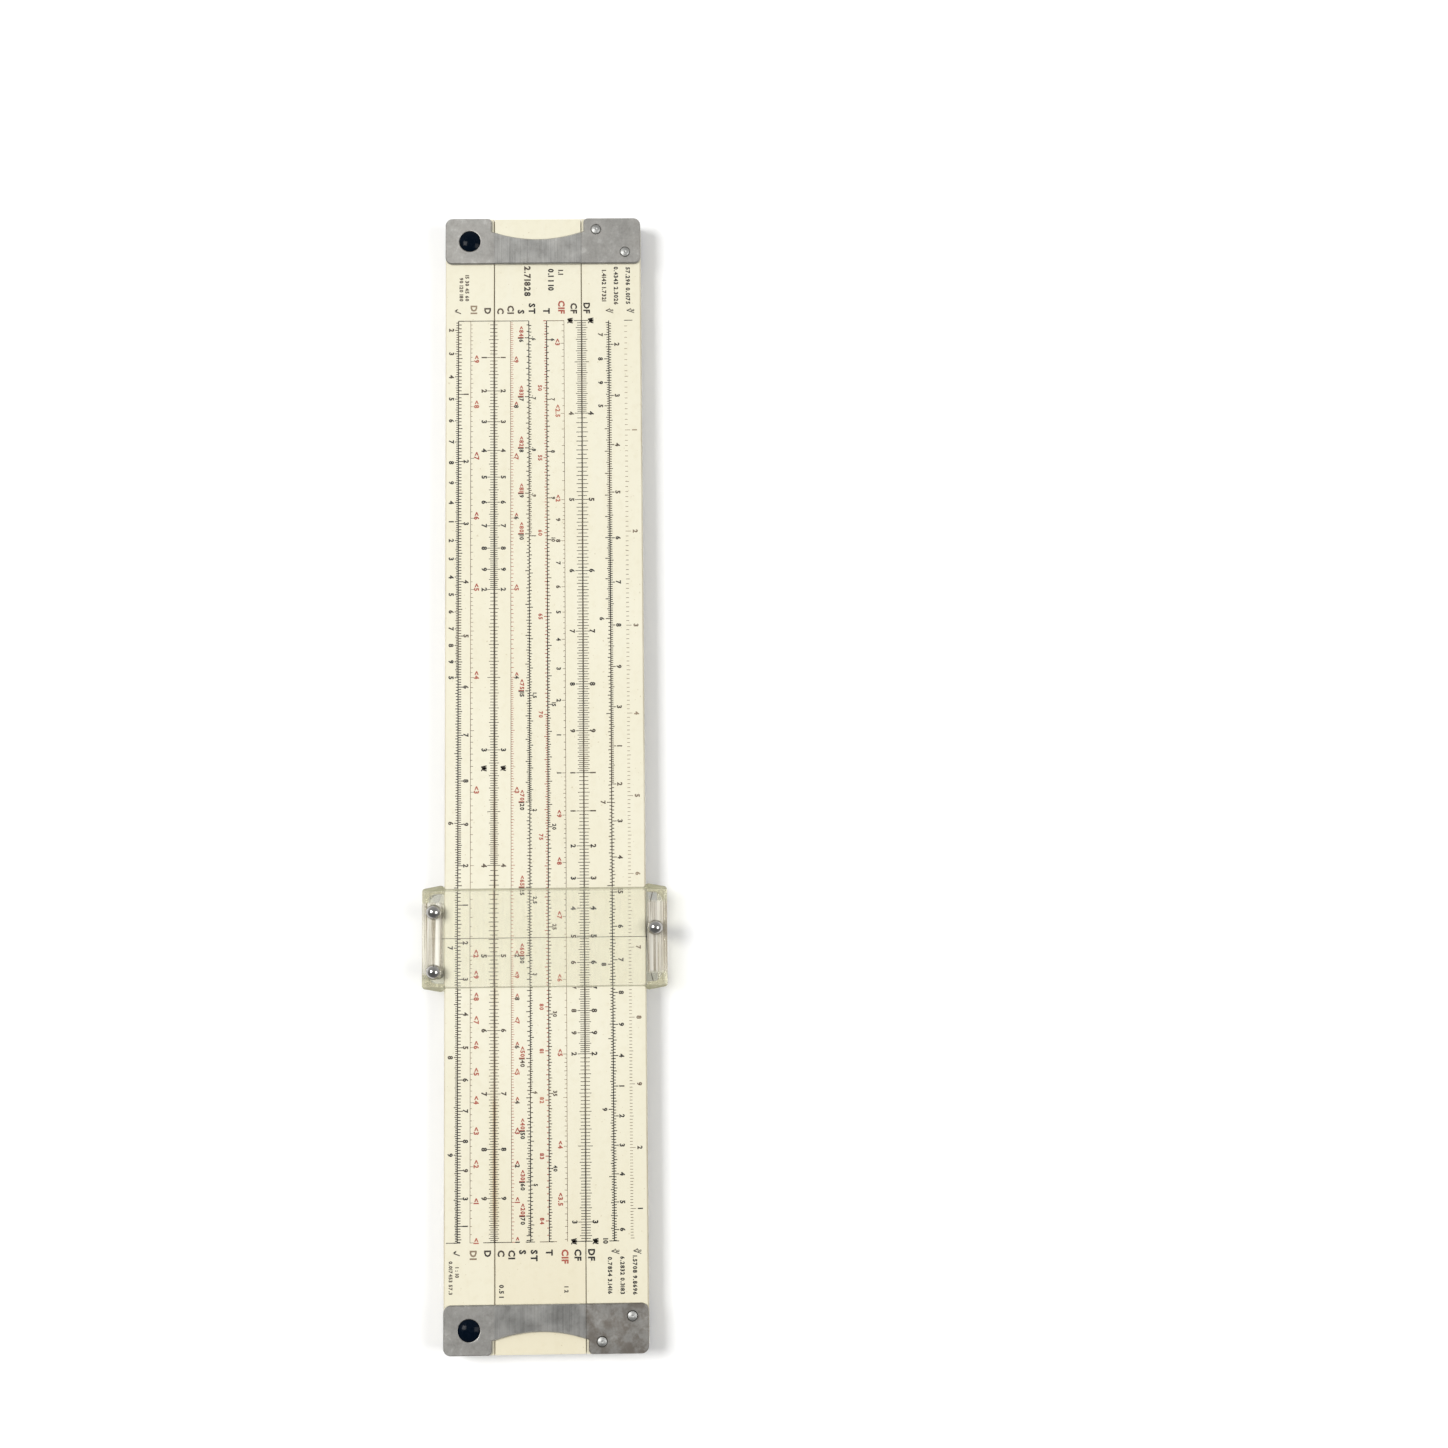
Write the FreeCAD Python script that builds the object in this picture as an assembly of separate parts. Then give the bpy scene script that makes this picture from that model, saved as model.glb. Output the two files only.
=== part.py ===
"""A ten-inch duplex slide rule, in millimetres.

X runs along the rule, +Y points from the lower stator to the upper one and +Z points out of
the front face. Every piece is modelled about the rule's middle plane, then lifted until the
cursor's rear window, on which the rule lies, is at height zero.
"""
import FreeCAD, Part
import math
import os

from FreeCAD import Vector

# Body: two stators with the slide between them
RULE_LENGTH = 308.0
LOWER_STATOR_WIDTH = 13.5
SLIDE_WIDTH = 24.0
UPPER_STATOR_WIDTH = 16.5
BODY_THICKNESS = 5.6
EDGE_BEVEL = 0.3                # along the two outer edges of the body

# Slide and its guides
SLIDE_RECESS = 0.05             # how far each slide face lies below the stator faces
SEAM_GAP = 0.10                 # between the slide and each stator
SEAM_BEVEL = 0.08
TONGUE_THICKNESS = 1.8
TONGUE_DEPTH = 1.4
GROOVE_SIDE_GAP = 0.10
GROOVE_END_GAP = 0.30

# End brackets, one on each face at each end
BRACKET_LENGTH = 13.0
BRACKET_THICKNESS = 0.9
BRACKET_CORNER = 2.0            # the stators' outer corners have it too
BRACKET_BEVEL = 0.28
BRIDGE_LIFT = 0.20              # how far the part over the slide is pressed outwards
NOTCH_OVERHANG = 0.7            # how far the thumb notch is wider than the slide, each side
NOTCH_STRAIGHT = 3.7
NOTCH_SAGITTA = 2.25
NOTCH_CORNER = 1.2

# Tension fastener at each end of the lower stator, in a cup drawn into each bracket
COUNTERBORE_DEPTH = 1.3
CUP_BORE = 5.7
CUP_WALL = 0.65
CUP_FLOOR = 0.6
CUP_RIM_RADIUS = 0.3
CUP_CLEARANCE = 0.4             # all round in the stator, so that its tension can be set
TENSION_HEAD_DIAMETER = 4.6
TENSION_HEAD_HEIGHT = 0.8
TENSION_SHANK_DIAMETER = 2.0
BARREL_DIAMETER = 3.6
HOLE_CLEARANCE = 0.1            # radial, round shanks and barrels in plates
THREAD_CLEARANCE = 0.02         # radial
SLOT_WIDTH = 0.6
SLOT_DEPTH = 0.4
BUMPER_RISE = 0.9               # above the bracket
BUMPER_LAND = 0.05              # straight part above the bracket

# Rivets that hold the brackets to the upper stator
RIVET_SHANK_DIAMETER = 1.8
RIVET_HEAD_DIAMETER = 2.4
RIVET_SINK_DIAMETER = 3.0
RIVET_RISE = 0.28
RIVET_DIMPLE_RADIUS = 0.8      # of the ball that leaves the dimple in each head
RIVET_DIMPLE_DEPTH = 0.12
RIVET_OUTER_FROM_END = 3.2
RIVET_OUTER_FROM_SEAM = 4.2
RIVET_INNER_FROM_BODY = 3.3     # from the bracket's inner end
RIVET_INNER_FROM_EDGE = 4.3

# Cursor
CURSOR_REST_X = 45.0
WINDOW_LENGTH = 26.5            # along the rule
WINDOW_THICKNESS = 2.2
WINDOW_GAP = 0.25               # between the body and each window
WINDOW_BEVEL = 0.8
WING_WIDTH = 5.75               # beyond each edge of the body
WING_FLARE = 0.95               # how far the wings widen beside the body, each way
WING_TAPER = 0.95               # how far they narrow again to their ends, each way
WING_SHOULDER = 0.4             # where the flare starts, inside the edge of the body
WING_SHOULDER_LENGTH = 0.9
WING_CORNER = 0.9
SHOULDER_RADIUS = 0.9
BLOCK_GAP_LOWER = 0.15          # running clearance of the lower edge block
BLOCK_GAP_UPPER = 0.35

# Edge blocks: open frames with a boss round each screw
BLOCK_WALL = 1.4
BLOCK_END_WALL = 1.3            # at the narrow end of the wings
POCKET_CORNER = 2.4
BOSS_DIAMETER = 3.6
BOSS_RIB = 1.2
LOWER_ROD_DIAMETER = 1.8        # between the two bosses
UPPER_ROD_DIAMETER = 1.1
UPPER_ROD_FROM_EDGE = 3.6

# Leaf spring in the upper edge block
SPRING_THICKNESS = 0.2
SPRING_HEIGHT = 3.6
SPRING_GAP = 0.12               # between the bow of the spring and the upper stator

# Cursor fasteners: countersunk screws from the back into domed nuts on the front
LOWER_SCREW_SPACING = 15.9
LOWER_SCREW_OFFSET = 0.9        # of the pair's middle from the hairline
UPPER_SCREW_OFFSET = -2.35
SCREW_FROM_EDGE = 2.55
SCREW_SHANK_DIAMETER = 2.0
SCREW_HEAD_DIAMETER = 4.0
SCREW_HEAD_SINK = 0.05
SCREW_SLOT_WIDTH = 0.6
SCREW_SLOT_DEPTH = 0.5
NUT_DIAMETER = 4.1
NUT_BASE = 0.35
NUT_DOME = 1.6
NUT_BORE_DEPTH = 1.1

# Worked out from the sizes above
BODY_WIDTH = LOWER_STATOR_WIDTH + SLIDE_WIDTH + UPPER_STATOR_WIDTH
HALF_LENGTH = RULE_LENGTH / 2
EDGE_Y = BODY_WIDTH / 2
LOWER_SEAM_Y = -EDGE_Y + LOWER_STATOR_WIDTH
UPPER_SEAM_Y = LOWER_SEAM_Y + SLIDE_WIDTH
FACE_Z = BODY_THICKNESS / 2
SLIDE_Z = FACE_Z - SLIDE_RECESS
BRACKET_TOP = FACE_Z + BRACKET_THICKNESS
WEB_Z = FACE_Z - COUNTERBORE_DEPTH
CUP_FLOOR_TOP = WEB_Z + CUP_FLOOR
TENSION_HEAD_TOP = CUP_FLOOR_TOP + TENSION_HEAD_HEIGHT
BRACKET_IN = HALF_LENGTH - BRACKET_LENGTH
FASTENER_X = (HALF_LENGTH + BRACKET_IN) / 2
FASTENER_Y = -EDGE_Y + LOWER_STATOR_WIDTH / 2
WINDOW_IN = FACE_Z + WINDOW_GAP
WINDOW_OUT = WINDOW_IN + WINDOW_THICKNESS
NOTCH_LOW_Y = LOWER_SEAM_Y - NOTCH_OVERHANG
NOTCH_HIGH_Y = UPPER_SEAM_Y + NOTCH_OVERHANG
WING_END_Y = EDGE_Y + WING_WIDTH
POCKET_X = WINDOW_LENGTH / 2 + WING_FLARE - WING_TAPER - BLOCK_END_WALL
POCKET_Y = WING_END_Y - BLOCK_WALL
SCREW_Y = EDGE_Y + SCREW_FROM_EDGE
RIVET_PLACES = {
    "outer": (HALF_LENGTH - RIVET_OUTER_FROM_END, UPPER_SEAM_Y + RIVET_OUTER_FROM_SEAM),
    "inner": (BRACKET_IN + RIVET_INNER_FROM_BODY, EDGE_Y - RIVET_INNER_FROM_EDGE),
}
SCREW_PLACES = {
    "lower_left": (LOWER_SCREW_OFFSET - LOWER_SCREW_SPACING / 2, -SCREW_Y),
    "lower_right": (LOWER_SCREW_OFFSET + LOWER_SCREW_SPACING / 2, -SCREW_Y),
    "upper": (UPPER_SCREW_OFFSET, SCREW_Y),
}
CUT_MARGIN = 1.0                # how far cutting solids reach past what they cut
TOLERANCE = 1e-5                # for picking edges by their places


# ---------------------------------------------------------------- shapes

def box(x_range, y_range, z_range):
    """Box between two planes along each axis."""
    lows, highs = zip(x_range, y_range, z_range)
    sizes = [high - low for low, high in zip(lows, highs)]
    return Part.makeBox(*sizes, Vector(*lows))


def cylinder(radius, z_range, x=0.0, y=0.0):
    """Upright cylinder between two heights."""
    return Part.makeCylinder(radius, z_range[1] - z_range[0], Vector(x, y, z_range[0]))


def cone(radius_low, radius_high, z_range, x=0.0, y=0.0):
    """Upright cone between two heights."""
    height = z_range[1] - z_range[0]
    return Part.makeCone(radius_low, radius_high, height, Vector(x, y, z_range[0]))


def cap(radius, base, rise):
    """Cap of a sphere, of a given radius at its base, standing on the axis."""
    sphere_radius = (radius ** 2 + rise ** 2) / (2 * rise)
    sphere = Part.makeSphere(sphere_radius, Vector(0, 0, base + rise - sphere_radius))
    return sphere.common(cylinder(radius, (base, base + rise)))


def fused(shapes):
    """One solid from shapes that overlap or touch, without leftover seams."""
    return shapes[0].multiFuse(shapes[1:]).removeSplitter()


def prism(wire, z_range):
    """Upright prism on a closed wire in the XY plane."""
    face = Part.Face(wire)
    face.translate(Vector(0, 0, z_range[0]))
    return face.extrude(Vector(0, 0, z_range[1] - z_range[0]))


def bar(section, x_range):
    """Bar along X with a closed (y, z) section."""
    points = [Vector(x_range[0], y, z) for y, z in section]
    face = Part.Face(Part.makePolygon(points + points[:1]))
    return face.extrude(Vector(x_range[1] - x_range[0], 0, 0))


def rounded_outline(corners):
    """Closed wire in the XY plane through corners (x, y, radius), turned by tangent arcs."""
    turns = []
    for index, (x, y, radius) in enumerate(corners):
        here = Vector(x, y, 0)
        back = (Vector(*corners[index - 1][:2], 0) - here).normalize()
        ahead = (Vector(*corners[(index + 1) % len(corners)][:2], 0) - here).normalize()
        half_angle = back.getAngle(ahead) / 2
        reach = radius / math.tan(half_angle)
        inward = (back + ahead).normalize()
        middle = here + inward * (radius / math.sin(half_angle) - radius)
        turns.append((here + back * reach, middle, here + ahead * reach))
    edges = []
    for index, turn in enumerate(turns):
        edges.append(Part.Arc(*turn).toShape())
        following = turns[(index + 1) % len(turns)]
        edges.append(Part.LineSegment(turn[2], following[0]).toShape())
    return Part.Wire(edges)


def rounded_rectangle(x_range, y_range, radius):
    """Closed wire of a rectangle with rounded corners."""
    (x0, x1), (y0, y1) = x_range, y_range
    return rounded_outline([(x0, y0, radius), (x1, y0, radius), (x1, y1, radius), (x0, y1, radius)])


def edges_at_height(shape, z):
    """Edges that lie in one level plane."""
    return [edge for edge in shape.Edges
            if all(abs(vertex.Point.z - z) < TOLERANCE for vertex in edge.Vertexes)]


def upright_edges(shape, x, y):
    """Edges that stand upright at one place."""
    here = Vector(x, y, 0)
    return [edge for edge in shape.Edges
            if all((vertex.Point - here).cross(Vector(0, 0, 1)).Length < TOLERANCE
                   for vertex in edge.Vertexes)]


def slotted(shape, z_range, width, length):
    """The shape with a screwdriver slot along Y, between two heights."""
    half = length / 2 + CUT_MARGIN
    return shape.cut(box((-width / 2, width / 2), (-half, half), z_range))


def mirrored(shape, axis):
    """The shape mirrored through the rule's middle, across the plane normal to an axis."""
    return shape.mirror(Vector(0, 0, 0), axis)


def placed(shape, x, y):
    """A copy of the shape moved along X and Y."""
    copy = shape.copy()
    copy.translate(Vector(x, y, 0))
    return copy


# ---------------------------------------------------------------- body

def stator_section(edge, seam):
    """Section of a stator from its outer edge to its seam with the slide."""
    side = 1 if seam > edge else -1
    bevel = side * EDGE_BEVEL
    lip = side * SEAM_BEVEL
    floor = seam - side * (TONGUE_DEPTH + GROOVE_END_GAP)
    groove = TONGUE_THICKNESS / 2 + GROOVE_SIDE_GAP
    upper = [(edge, FACE_Z - EDGE_BEVEL), (edge + bevel, FACE_Z), (seam - lip, FACE_Z),
             (seam, FACE_Z - SEAM_BEVEL), (seam, groove), (floor, groove)]
    return upper + [(y, -z) for y, z in reversed(upper)]


def stator(edge, seam):
    """Plain stator with rounded outer corners."""
    body = bar(stator_section(edge, seam), (-HALF_LENGTH, HALF_LENGTH))
    plan = rounded_rectangle((-HALF_LENGTH, HALF_LENGTH), (-EDGE_Y, EDGE_Y), BRACKET_CORNER)
    return body.common(prism(plan, (-FACE_Z, FACE_Z)))


def lower_stator():
    """Lower stator, bored and counterbored for the tension fasteners."""
    body = stator(-EDGE_Y, LOWER_SEAM_Y - SEAM_GAP)
    cup_radius = CUP_BORE / 2 + CUP_WALL + CUP_CLEARANCE
    web_radius = BARREL_DIAMETER / 2 + CUP_CLEARANCE
    for x in (-FASTENER_X, FASTENER_X):
        body = body.cut(cylinder(web_radius, (-FACE_Z, FACE_Z), x, FASTENER_Y))
        body = body.cut(cylinder(cup_radius, (WEB_Z, FACE_Z + CUT_MARGIN), x, FASTENER_Y))
        body = body.cut(cylinder(cup_radius, (-FACE_Z - CUT_MARGIN, -WEB_Z), x, FASTENER_Y))
    return body


def upper_stator():
    """Upper stator, drilled for the rivets."""
    body = stator(EDGE_Y, UPPER_SEAM_Y + SEAM_GAP)
    radius = RIVET_SHANK_DIAMETER / 2 + THREAD_CLEARANCE
    for x, y in RIVET_PLACES.values():
        for side in (-1, 1):
            body = body.cut(cylinder(radius, (-FACE_Z, FACE_Z), side * x, y))
    return body


def slide():
    """Slide with a tongue along each edge."""
    low = LOWER_SEAM_Y + SEAM_GAP
    high = UPPER_SEAM_Y - SEAM_GAP
    tongue = TONGUE_THICKNESS / 2
    reach = TONGUE_DEPTH + SEAM_GAP
    upper = [(low - reach, tongue), (low, tongue), (low, SLIDE_Z - SEAM_BEVEL),
             (low + SEAM_BEVEL, SLIDE_Z), (high - SEAM_BEVEL, SLIDE_Z),
             (high, SLIDE_Z - SEAM_BEVEL), (high, tongue), (high + reach, tongue)]
    section = upper + [(y, -z) for y, z in reversed(upper)]
    return bar(section, (-HALF_LENGTH, HALF_LENGTH))


# ---------------------------------------------------------------- end brackets

def notch():
    """Cutting prism of the thumb notch in the end of a bracket."""
    low, high = NOTCH_LOW_Y, NOTCH_HIGH_Y
    shoulder = HALF_LENGTH - NOTCH_STRAIGHT
    past = HALF_LENGTH + CUT_MARGIN
    corners = [Vector(shoulder, high, 0), Vector(past, high, 0),
               Vector(past, low, 0), Vector(shoulder, low, 0)]
    deepest = Vector(shoulder - NOTCH_SAGITTA, (low + high) / 2, 0)
    edges = [Part.LineSegment(*pair).toShape() for pair in zip(corners, corners[1:])]
    edges.append(Part.Arc(corners[3], deepest, corners[0]).toShape())
    return prism(Part.Wire(edges), (0, BRACKET_TOP + CUT_MARGIN))


def blank_plate():
    """Flat bracket plate with its thumb notch and bevelled outer rim."""
    plan = rounded_rectangle((BRACKET_IN, HALF_LENGTH), (-EDGE_Y, EDGE_Y), BRACKET_CORNER)
    plate = prism(plan, (FACE_Z, BRACKET_TOP)).cut(notch())
    corners = [edge for y in (NOTCH_LOW_Y, NOTCH_HIGH_Y)
               for edge in upright_edges(plate, HALF_LENGTH, y)]
    plate = plate.makeFillet(NOTCH_CORNER, corners)
    return plate.makeChamfer(BRACKET_BEVEL, edges_at_height(plate, BRACKET_TOP))


def bracket(shank_radius):
    """Bracket for the front of the right end, with a hole for a shank in its cup."""
    plate = blank_plate()
    x_range = (0, HALF_LENGTH + CUT_MARGIN)
    z_range = (0, BRACKET_TOP + CUT_MARGIN)
    lower_pad = plate.common(box(x_range, (-EDGE_Y, LOWER_SEAM_Y), z_range))
    upper_pad = plate.common(box(x_range, (UPPER_SEAM_Y, EDGE_Y), z_range))
    bridge = plate.common(box(x_range, (LOWER_SEAM_Y, UPPER_SEAM_Y), z_range))
    bridge.translate(Vector(0, 0, BRIDGE_LIFT))
    cup_radius = CUP_BORE / 2 + CUP_WALL
    cup = cylinder(cup_radius, (WEB_Z, FACE_Z), FASTENER_X, FASTENER_Y)
    shape = fused([lower_pad, upper_pad, bridge, cup])
    shape = shape.cut(cylinder(CUP_BORE / 2, (CUP_FLOOR_TOP, z_range[1]), FASTENER_X, FASTENER_Y))
    shape = shape.cut(cylinder(shank_radius + HOLE_CLEARANCE, z_range, FASTENER_X, FASTENER_Y))
    rim = [edge for edge in edges_at_height(shape, BRACKET_TOP)
           if abs(edge.Length - math.pi * CUP_BORE) < TOLERANCE]
    shape = shape.makeFillet(CUP_RIM_RADIUS, rim)
    for x, y in RIVET_PLACES.values():
        shape = shape.cut(placed(rivet_hole(), x, y))
    return shape


def rivet_sink():
    """Depth of the 45 degree countersink for a rivet head."""
    return (RIVET_SINK_DIAMETER - RIVET_SHANK_DIAMETER) / 2


def rivet_hole():
    """Cutting solid of a countersunk rivet hole in a bracket."""
    radius = RIVET_SHANK_DIAMETER / 2
    start = BRACKET_TOP - rivet_sink()
    straight = cylinder(radius + THREAD_CLEARANCE, (0, BRACKET_TOP + CUT_MARGIN))
    return straight.fuse(cone(radius, RIVET_SINK_DIAMETER / 2, (start, BRACKET_TOP)))


def rivet():
    """Rivet through both brackets and the upper stator, with two domed and dimpled heads."""
    shank = RIVET_SHANK_DIAMETER / 2
    head = RIVET_HEAD_DIAMETER / 2
    start = BRACKET_TOP - rivet_sink()
    collar = start + head - shank
    half = [cylinder(shank, (0, start)), cone(shank, head, (start, collar)),
            cylinder(head, (collar, BRACKET_TOP)), cap(head, BRACKET_TOP, RIVET_RISE)]
    body = fused(half + [mirrored(shape, Vector(0, 0, 1)) for shape in half])
    height = BRACKET_TOP + RIVET_RISE - RIVET_DIMPLE_DEPTH + RIVET_DIMPLE_RADIUS
    for z in (-height, height):
        body = body.cut(Part.makeSphere(RIVET_DIMPLE_RADIUS, Vector(0, 0, z)))
    return body


def tension_screw():
    """Slotted cheese-head screw that goes in from the front."""
    head = cylinder(TENSION_HEAD_DIAMETER / 2, (CUP_FLOOR_TOP, TENSION_HEAD_TOP))
    shank = cylinder(TENSION_SHANK_DIAMETER / 2, (-WEB_Z, CUP_FLOOR_TOP))
    slot = (TENSION_HEAD_TOP - SLOT_DEPTH, TENSION_HEAD_TOP)
    return slotted(fused([head, shank]), slot, SLOT_WIDTH, TENSION_HEAD_DIAMETER)


def barrel_nut():
    """Slotted nut whose barrel reaches through the lower stator from the back."""
    head = cylinder(TENSION_HEAD_DIAMETER / 2, (-TENSION_HEAD_TOP, -CUP_FLOOR_TOP))
    barrel = cylinder(BARREL_DIAMETER / 2, (-CUP_FLOOR_TOP, WEB_Z - HOLE_CLEARANCE))
    bore = cylinder(TENSION_SHANK_DIAMETER / 2 + THREAD_CLEARANCE, (-CUP_FLOOR_TOP, FACE_Z))
    slot = (-TENSION_HEAD_TOP, -TENSION_HEAD_TOP + SLOT_DEPTH)
    return slotted(fused([head, barrel]).cut(bore), slot, SLOT_WIDTH, TENSION_HEAD_DIAMETER)


def bumper():
    """Domed rubber bumper pressed into the front cup, on the screw head."""
    radius = CUP_BORE / 2
    land = BRACKET_TOP + BUMPER_LAND
    return fused([cylinder(radius, (TENSION_HEAD_TOP, land)),
                  cap(radius, land, BUMPER_RISE - BUMPER_LAND)])


# ---------------------------------------------------------------- cursor

def cursor_outline():
    """Closed wire of the cursor seen from the front, about its hairline."""
    half = WINDOW_LENGTH / 2
    wide = half + WING_FLARE
    narrow = wide - WING_TAPER
    neck = EDGE_Y - WING_SHOULDER
    shoulder = neck + WING_SHOULDER_LENGTH
    right = [(narrow, -WING_END_Y, WING_CORNER), (wide, -shoulder, SHOULDER_RADIUS),
             (half, -neck, SHOULDER_RADIUS), (half, neck, SHOULDER_RADIUS),
             (wide, shoulder, SHOULDER_RADIUS), (narrow, WING_END_Y, WING_CORNER)]
    return rounded_outline(right + [(-x, y, radius) for x, y, radius in reversed(right)])


def window():
    """Front window, bevelled round its outer face and drilled for the screws."""
    plate = prism(cursor_outline(), (WINDOW_IN, WINDOW_OUT))
    plate = plate.makeChamfer(WINDOW_BEVEL, edges_at_height(plate, WINDOW_OUT))
    radius = SCREW_SHANK_DIAMETER / 2 + HOLE_CLEARANCE
    for x, y in SCREW_PLACES.values():
        plate = plate.cut(cylinder(radius, (WINDOW_IN, WINDOW_OUT), x, y))
    return plate


def rear_window():
    """Rear window, countersunk for the screw heads."""
    plate = mirrored(window(), Vector(0, 0, 1))
    for x, y in SCREW_PLACES.values():
        plate = plate.cut(placed(screw_head(0), x, y))
    return plate


def edge_frame(side, gap):
    """Frame that spaces the windows beyond one edge of the body, open towards the body."""
    z_range = (-WINDOW_IN, WINDOW_IN)
    y_range = sorted((side * (EDGE_Y + gap), side * (WING_END_Y + CUT_MARGIN)))
    pocket = rounded_rectangle((-POCKET_X, POCKET_X), (-POCKET_Y, POCKET_Y), POCKET_CORNER)
    frame = prism(cursor_outline(), z_range).cut(prism(pocket, z_range))
    return frame.common(box((-WINDOW_LENGTH, WINDOW_LENGTH), y_range, z_range))


def boss(x, y):
    """Round boss for a screw, with a rib to the block's outer wall."""
    z_range = (-WINDOW_IN, WINDOW_IN)
    wall = math.copysign(POCKET_Y + BLOCK_WALL / 2, y)
    rib = box((x - BOSS_RIB / 2, x + BOSS_RIB / 2), sorted((y, wall)), z_range)
    return cylinder(BOSS_DIAMETER / 2, z_range, x, y).fuse(rib)


def rod(x_range, y, diameter):
    """Round rod along X on the middle plane."""
    start = Vector(x_range[0], y, 0)
    return Part.makeCylinder(diameter / 2, x_range[1] - x_range[0], start, Vector(1, 0, 0))


def drilled(block):
    """The edge block with its clearance holes for the screws."""
    radius = SCREW_SHANK_DIAMETER / 2 + HOLE_CLEARANCE
    for x, y in SCREW_PLACES.values():
        block = block.cut(cylinder(radius, (-WINDOW_IN, WINDOW_IN), x, y))
    return block


def lower_block():
    """Lower edge block: its end walls run on the lower stator, and a rod joins its bosses."""
    left, right = SCREW_PLACES["lower_left"], SCREW_PLACES["lower_right"]
    return drilled(fused([edge_frame(-1, BLOCK_GAP_LOWER), boss(*left), boss(*right),
                          rod((left[0], right[0]), left[1], LOWER_ROD_DIAMETER)]))


def upper_block():
    """Upper edge block, with a rod from end to end behind the spring."""
    reach = POCKET_X + BLOCK_END_WALL / 2
    y = EDGE_Y + UPPER_ROD_FROM_EDGE
    return drilled(fused([edge_frame(1, BLOCK_GAP_UPPER), boss(*SCREW_PLACES["upper"]),
                          rod((-reach, reach), y, UPPER_ROD_DIAMETER)]))


def spring():
    """Bowed leaf spring: its tips rest in the pocket's ends and its middle nears the stator."""
    near = EDGE_Y + SPRING_GAP
    far = POCKET_Y - POCKET_CORNER
    inner_tips = [Vector(x, far - SPRING_THICKNESS, 0) for x in (-POCKET_X, POCKET_X)]
    outer_tips = [Vector(x, far, 0) for x in (-POCKET_X, POCKET_X)]
    edges = [Part.Arc(inner_tips[0], Vector(0, near, 0), inner_tips[1]),
             Part.LineSegment(inner_tips[1], outer_tips[1]),
             Part.Arc(outer_tips[1], Vector(0, near + SPRING_THICKNESS, 0), outer_tips[0]),
             Part.LineSegment(outer_tips[0], inner_tips[0])]
    wire = Part.Wire([edge.toShape() for edge in edges])
    return prism(wire, (-SPRING_HEIGHT / 2, SPRING_HEIGHT / 2))


def screw_head(sink):
    """Countersunk head of a cursor screw, sunk below the rear window's outer face."""
    head = SCREW_HEAD_DIAMETER / 2 - sink
    shank = SCREW_SHANK_DIAMETER / 2
    return cone(head, shank, (-WINDOW_OUT + sink, -WINDOW_OUT + sink + head - shank))


def cursor_screw():
    """Slotted countersunk screw, from the rear window into the nut on the front."""
    tip = WINDOW_OUT + NUT_BORE_DEPTH
    bottom = -WINDOW_OUT + SCREW_HEAD_SINK
    shank = cylinder(SCREW_SHANK_DIAMETER / 2, (bottom, tip))
    slot = (bottom, bottom + SCREW_SLOT_DEPTH)
    return slotted(fused([screw_head(SCREW_HEAD_SINK), shank]), slot, SCREW_SLOT_WIDTH,
                   SCREW_HEAD_DIAMETER)


def cursor_nut():
    """Polished domed nut on the front window."""
    radius = NUT_DIAMETER / 2
    base = WINDOW_OUT + NUT_BASE
    dome = fused([cylinder(radius, (WINDOW_OUT, base)), cap(radius, base, NUT_DOME)])
    bore = SCREW_SHANK_DIAMETER / 2 + THREAD_CLEARANCE
    return dome.cut(cylinder(bore, (WINDOW_OUT, WINDOW_OUT + NUT_BORE_DEPTH)))


# ---------------------------------------------------------------- assembly

def body_nodes():
    """Pieces of the stock and the slide."""
    nodes = {"lower_stator": lower_stator(), "upper_stator": upper_stator(), "slide": slide()}
    front = bracket(TENSION_SHANK_DIAMETER / 2)
    back = mirrored(bracket(BARREL_DIAMETER / 2), Vector(0, 0, 1))
    for side, end in ((-1, "left"), (1, "right")):
        for face, plate in (("front", front), ("back", back)):
            at_end = plate if side > 0 else mirrored(plate, Vector(1, 0, 0))
            nodes[f"bracket_{face}_{end}"] = at_end
        for place, (x, y) in RIVET_PLACES.items():
            nodes[f"rivet_{place}_{end}"] = placed(rivet(), side * x, y)
        x = side * FASTENER_X
        nodes[f"tension_screw_{end}"] = placed(tension_screw(), x, FASTENER_Y)
        nodes[f"barrel_nut_{end}"] = placed(barrel_nut(), x, FASTENER_Y)
        nodes[f"bumper_front_{end}"] = placed(bumper(), x, FASTENER_Y)
        back_bumper = mirrored(bumper(), Vector(0, 0, 1))
        nodes[f"bumper_back_{end}"] = placed(back_bumper, x, FASTENER_Y)
    return nodes


def cursor_nodes():
    """Pieces of the cursor, at its rest place along the rule."""
    nodes = {"cursor_window_front": window(), "cursor_window_back": rear_window(),
             "cursor_block_lower": lower_block(), "cursor_block_upper": upper_block(),
             "cursor_spring": spring()}
    for place, (x, y) in SCREW_PLACES.items():
        nodes[f"cursor_screw_{place}"] = placed(cursor_screw(), x, y)
        nodes[f"cursor_nut_{place}"] = placed(cursor_nut(), x, y)
    return {name: placed(shape, CURSOR_REST_X, 0) for name, shape in nodes.items()}


def main():
    os.makedirs("parts", exist_ok=True)
    for name, shape in {**body_nodes(), **cursor_nodes()}.items():
        shape.translate(Vector(0, 0, WINDOW_OUT))
        if not shape.isValid() or len(shape.Solids) != 1:
            raise ValueError(f"{name} is not one valid solid")
        shape.Solids[0].exportStep(f"parts/{name}.step")
        print(f"{name:24s} {shape.Volume:10.2f} mm3")


main()
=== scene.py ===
"""Finish, graduations, light and camera of a duplex slide rule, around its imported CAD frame."""

import math

import bmesh
import bpy
import numpy as np
from mathutils import Matrix, Vector


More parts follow.
